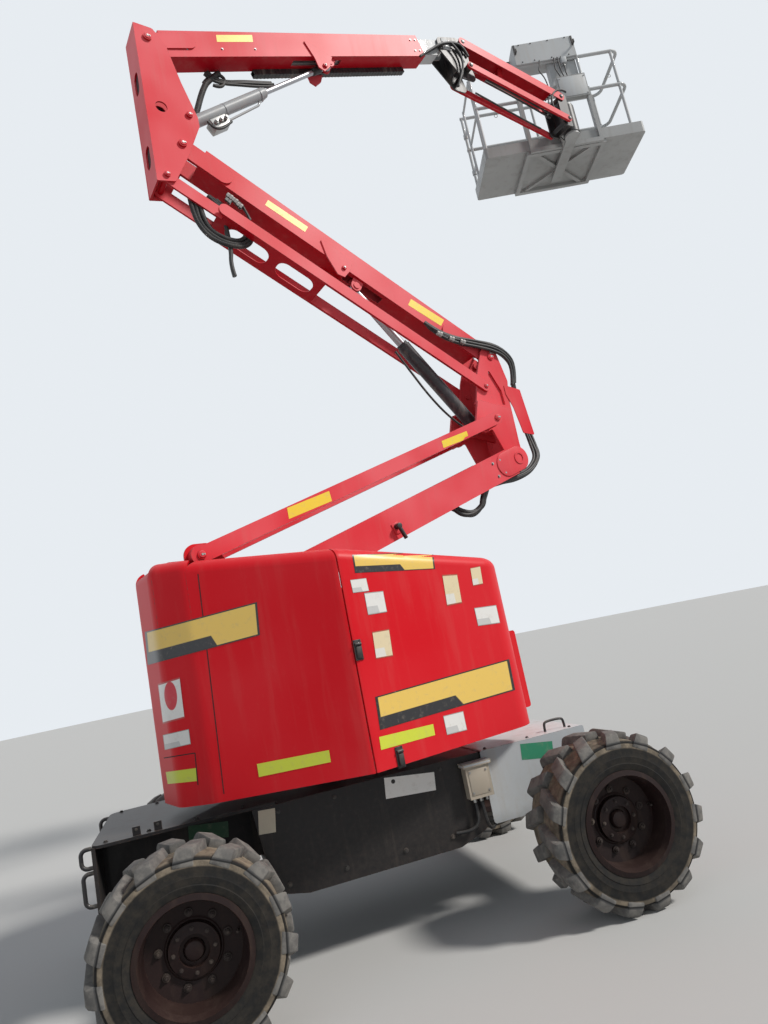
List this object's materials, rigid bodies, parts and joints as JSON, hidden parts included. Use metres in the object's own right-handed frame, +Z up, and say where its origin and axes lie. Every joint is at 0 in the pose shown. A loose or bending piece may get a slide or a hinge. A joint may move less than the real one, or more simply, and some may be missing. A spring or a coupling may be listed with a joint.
{
  "type": "articulating boom lift",
  "caption": "Self-propelled work platform on four lugged tyres with a slewing turret, folding riser arms, telescoping boom and jib.",
  "frame": {"origin": "bottom centre of the whole object's bounding box, on the ground at the tyres' contact plane", "axes": "+X along the chassis from the steered end to the driven end, +Y to the far side, +Z up"},
  "size_m": [6.5382, 3.4294, 7.9357],
  "materials": {
    "barrel": "grey paint",
    "dark": "dark charcoal paint",
    "hose": "ribbed hose carrier",
    "pale": "pale grey paint",
    "red": "gloss paint, sun-faded",
    "rim": "dark red-brown paint",
    "rod": "polished",
    "tyre": "dusty rubber"
  },
  "bodies": {
    "chassis": {"chassis_frame": "dark", "steer_end_cover": "dark", "drive_end_cover": "pale", "tie_down_loops": "dark", "drive_axle": "dark", "steer_axle": "dark", "junction_box": "pale", "slew_ring": "dark"},
    "steer_knuckle_near": {"steer_knuckle_near": "dark"},
    "steer_knuckle_far": {"steer_knuckle_far": "dark"},
    "tie_rod": {"tie_rod": "dark"},
    "wheel_steer_near": {"tyre_steer_near": "tyre", "rim_steer_near": "rim"},
    "wheel_steer_far": {"tyre_steer_far": "tyre", "rim_steer_far": "rim"},
    "wheel_drive_near": {"tyre_drive_near": "tyre", "rim_drive_near": "rim"},
    "wheel_drive_far": {"tyre_drive_far": "tyre", "rim_drive_far": "rim"},
    "turret": {"turntable": "red", "turret_front": "red", "tail_hood": "red", "counterweight": "dark", "engine": "dark", "hydraulic_tank": "dark"},
    "hood_near": {"hood_near": "red"},
    "hood_far": {"hood_far": "red"},
    "lower_arm": {"lower_arm": "red"},
    "lower_links": {"lower_links": "red"},
    "tower_knuckle": {"tower_knuckle": "red", "hose_guard": "red"},
    "upper_arm": {"upper_arm": "red"},
    "upper_link": {"upper_link": "red"},
    "upright": {"upright": "red"},
    "tower_cylinder": {"tower_cylinder": "barrel"},
    "tower_rod": {"tower_rod": "rod"},
    "main_boom": {"main_boom": "red", "hose_tray": "hose"},
    "fly_boom": {"fly_boom": "barrel"},
    "luff_cylinder": {"luff_cylinder": "barrel"},
    "luff_rod": {"luff_rod": "rod"},
    "jib_base": {"jib_base": "dark"},
    "jib_arm": {"jib_arm": "red"},
    "jib_bars": {"jib_bars": "red"},
    "rotator": {"rotator": "dark"},
    "jib_cylinder": {"jib_cylinder": "barrel"},
    "jib_rod": {"jib_rod": "rod"},
    "platform": {"platform_mount": "dark", "platform_floor": "pale", "platform_rails": "pale", "control_box": "pale"},
    "platform_gate": {"platform_gate": "pale"}
  },
  "joints": [
    {"name": "steer", "type": "hinge", "parent": "chassis", "child": "steer_knuckle_near", "pos_m": [-2.74139, -1.35072, 0.46], "axis": [0, 0, 1], "range_deg": [-30, 30]},
    {"name": "steer_far", "type": "hinge", "parent": "chassis", "child": "steer_knuckle_far", "pos_m": [-2.74139, 0.26128, 0.46], "axis": [0, 0, 1], "range_deg": [-30, 30]},
    {"name": "tie_rod_swing", "type": "hinge", "parent": "steer_knuckle_near", "child": "tie_rod", "pos_m": [-2.58139, -1.35072, 0.46], "axis": [0, 0, 1], "range_deg": [-30, 30]},
    {"name": "wheel_steer_near", "type": "hinge", "parent": "steer_knuckle_near", "child": "wheel_steer_near", "pos_m": [-2.74139, -1.53722, 0.46], "axis": [0, 1, 0], "continuous": true},
    {"name": "wheel_drive_near", "type": "hinge", "parent": "chassis", "child": "wheel_drive_near", "pos_m": [-0.48139, -1.53722, 0.46], "axis": [0, 1, 0], "continuous": true},
    {"name": "wheel_steer_far", "type": "hinge", "parent": "steer_knuckle_far", "child": "wheel_steer_far", "pos_m": [-2.74139, 0.44778, 0.46], "axis": [0, 1, 0], "continuous": true},
    {"name": "wheel_drive_far", "type": "hinge", "parent": "chassis", "child": "wheel_drive_far", "pos_m": [-0.48139, 0.44778, 0.46], "axis": [0, 1, 0], "continuous": true},
    {"name": "slew", "type": "hinge", "parent": "chassis", "child": "turret", "pos_m": [-1.61139, -0.54472, 0.999], "axis": [0, 0, 1], "range_deg": [-193.8, 161.2]},
    {"name": "hood_near_swing", "type": "hinge", "parent": "turret", "child": "hood_near", "pos_m": [-0.73442, -0.68627, 1.433], "axis": [0, 0, 1], "range_deg": [0, 75]},
    {"name": "hood_far_swing", "type": "hinge", "parent": "turret", "child": "hood_far", "pos_m": [-0.94884, 0.04702, 1.433], "axis": [0, 0, -1], "range_deg": [0, 75]},
    {"name": "lower_lift", "type": "hinge", "parent": "turret", "child": "lower_arm", "pos_m": [-2.33125, -0.75522, 2.013], "axis": [0.2807, -0.9598, 0], "range_deg": [-38.5, 29.5]},
    {"name": "lower_link_lift", "type": "hinge", "parent": "turret", "child": "lower_links", "pos_m": [-2.52321, -0.81135, 2.326], "axis": [0.2807, -0.9598, 0], "range_deg": [-38.5, 29.5]},
    {"name": "knuckle_level", "type": "hinge", "parent": "lower_arm", "child": "tower_knuckle", "pos_m": [0.06442, -0.05468, 2.84815], "axis": [0.2807, -0.9598, 0], "range_deg": [-29.5, 38.5]},
    {"name": "upper_lift", "type": "hinge", "parent": "tower_knuckle", "child": "upper_arm", "pos_m": [0.14985, -0.0297, 3.787], "axis": [-0.2807, 0.9598, 0], "range_deg": [-42.4, 16.1]},
    {"name": "upper_link_lift", "type": "hinge", "parent": "tower_knuckle", "child": "upper_link", "pos_m": [0.00972, -0.07067, 3.512], "axis": [-0.2807, 0.9598, 0], "range_deg": [-42.4, 16.1]},
    {"name": "upright_level", "type": "hinge", "parent": "upper_arm", "child": "upright", "pos_m": [-2.15291, -0.70307, 5.28037], "axis": [-0.2807, 0.9598, 0], "range_deg": [-16.1, 42.4]},
    {"name": "tower_cylinder_tilt", "type": "hinge", "parent": "tower_knuckle", "child": "tower_cylinder", "pos_m": [-0.06611, -0.09285, 3.193], "axis": [0.2807, -0.9598, 0], "range_deg": [-13.83, 35.6]},
    {"name": "tower_cylinder_slide", "type": "slide", "parent": "tower_cylinder", "child": "tower_rod", "axis": [-0.5977, -0.1748, 0.7825], "range_m": [-0.4721, 0.1805]},
    {"name": "luff", "type": "hinge", "parent": "upright", "child": "main_boom", "pos_m": [-2.28056, -0.7404, 6.11237], "axis": [0.2807, -0.9598, 0], "range_deg": [-18, 54]},
    {"name": "luff_cylinder_tilt", "type": "hinge", "parent": "upright", "child": "luff_cylinder", "pos_m": [-2.07133, -0.67921, 5.53137], "axis": [0.2807, -0.9598, 0], "range_deg": [-15.62, 45.87]},
    {"name": "luff_cylinder_slide", "type": "slide", "parent": "luff_cylinder", "child": "luff_rod", "axis": [0.7915, 0.2315, 0.5656], "range_m": [-0.1772, 0.5277]},
    {"name": "telescope", "type": "slide", "parent": "main_boom", "child": "fly_boom", "axis": [0.9128, 0.2669, 0.309], "range_m": [0, 1.4]},
    {"name": "jib_level", "type": "hinge", "parent": "fly_boom", "child": "jib_base", "pos_m": [0.53095, 0.08175, 7.06414], "axis": [0.2807, -0.9598, 0], "range_deg": [-54, 18]},
    {"name": "jib_lift", "type": "hinge", "parent": "jib_base", "child": "jib_arm", "pos_m": [0.75074, 0.14602, 7.13414], "axis": [0.2807, -0.9598, 0], "range_deg": [-48.7, 80]},
    {"name": "jib_bar_lift", "type": "hinge", "parent": "jib_base", "child": "jib_bars", "pos_m": [0.75074, 0.14602, 6.84214], "axis": [0.2807, -0.9598, 0], "range_deg": [-48.7, 80]},
    {"name": "head_level", "type": "hinge", "parent": "jib_arm", "child": "rotator", "pos_m": [1.9743, 0.50381, 6.87941], "axis": [0.2807, -0.9598, 0], "range_deg": [-80, 48.7]},
    {"name": "jib_cylinder_tilt", "type": "hinge", "parent": "jib_base", "child": "jib_cylinder", "pos_m": [0.73155, 0.14041, 7.01414], "axis": [0.2807, -0.9598, 0], "range_deg": [-46.18, 75.54]},
    {"name": "jib_cylinder_slide", "type": "slide", "parent": "jib_cylinder", "child": "jib_rod", "axis": [0.9572, 0.2799, -0.0736], "range_m": [-0.0854, 0.139]},
    {"name": "platform_swing", "type": "hinge", "parent": "rotator", "child": "platform", "pos_m": [2.14419, 0.55349, 6.58141], "axis": [0, 0, 1], "range_deg": [-148.7, 31.3]},
    {"name": "gate_swing", "type": "hinge", "parent": "platform", "child": "platform_gate", "pos_m": [1.53533, 1.67737, 7.08141], "axis": [0, 0, 1], "range_deg": [0, 70]}
  ],
  "couplings": [
    {"joint": "steer_far", "follows": "steer", "ratio": 1},
    {"joint": "tie_rod_swing", "follows": "steer", "ratio": -1},
    {"joint": "lower_link_lift", "follows": "lower_lift", "ratio": 1},
    {"joint": "knuckle_level", "follows": "lower_lift", "ratio": -1},
    {"joint": "upper_link_lift", "follows": "upper_lift", "ratio": 1},
    {"joint": "upright_level", "follows": "upper_lift", "ratio": -1},
    {"joint": "tower_cylinder_tilt", "follows": "upper_lift", "ratio": -0.82784},
    {"joint": "tower_cylinder_slide", "follows": "upper_lift", "m_per_rad": 0.63527},
    {"joint": "luff_cylinder_tilt", "follows": "luff", "ratio": 0.84018},
    {"joint": "luff_cylinder_slide", "follows": "luff", "m_per_rad": 0.55774},
    {"joint": "jib_level", "follows": "luff", "ratio": -1},
    {"joint": "jib_bar_lift", "follows": "jib_lift", "ratio": 1},
    {"joint": "head_level", "follows": "jib_lift", "ratio": -1},
    {"joint": "jib_cylinder_tilt", "follows": "jib_lift", "ratio": 0.938},
    {"joint": "jib_cylinder_slide", "follows": "jib_lift", "m_per_rad": 0.0981}
  ]
}
